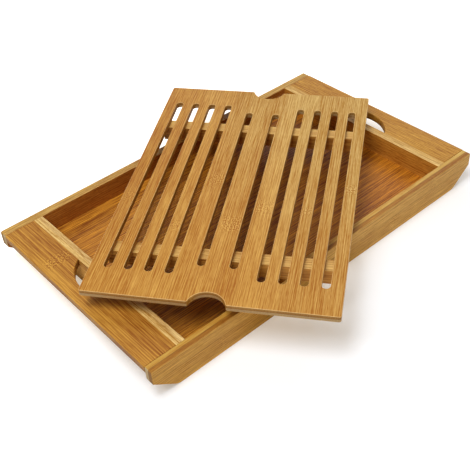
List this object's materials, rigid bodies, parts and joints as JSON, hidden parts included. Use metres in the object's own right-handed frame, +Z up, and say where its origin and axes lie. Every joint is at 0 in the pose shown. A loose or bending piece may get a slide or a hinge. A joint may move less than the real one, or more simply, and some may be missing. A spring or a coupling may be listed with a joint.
{
  "type": "bread board with crumb catcher",
  "caption": "Bamboo bread board: a slotted cutting rack on battens, lifted out and laid across a shallow crumb tray with handle boards at both ends.",
  "frame": {"origin": "on the table, under the middle of the whole object as it lies: half way along the rails, and under the middle of the rack", "axes": "+X along the rails, +Y across the tray towards the back rail, +Z up"},
  "size_m": [0.4506, 0.406, 0.061],
  "materials": {
    "caramel_bamboo": "satin",
    "pale_bamboo": "satin",
    "rack_bamboo": "satin",
    "dowel_wood": "matte"
  },
  "bodies": {
    "tray": {"front_rail": "caramel_bamboo", "back_rail": "caramel_bamboo", "left_end_wall": "pale_bamboo", "right_end_wall": "pale_bamboo", "left_handle": "caramel_bamboo", "right_handle": "caramel_bamboo", "tray_floor": "caramel_bamboo", "wall_dowels": "dowel_wood", "handle_dowels": "dowel_wood"},
    "rack": {"slotted_board": "rack_bamboo", "near_batten": "pale_bamboo", "far_batten": "pale_bamboo"}
  },
  "joints": [
    {"name": "rack_lift", "type": "slide", "parent": "tray", "child": "rack", "axis": [0, 0, 1], "range_m": [0, 0.12]}
  ]
}
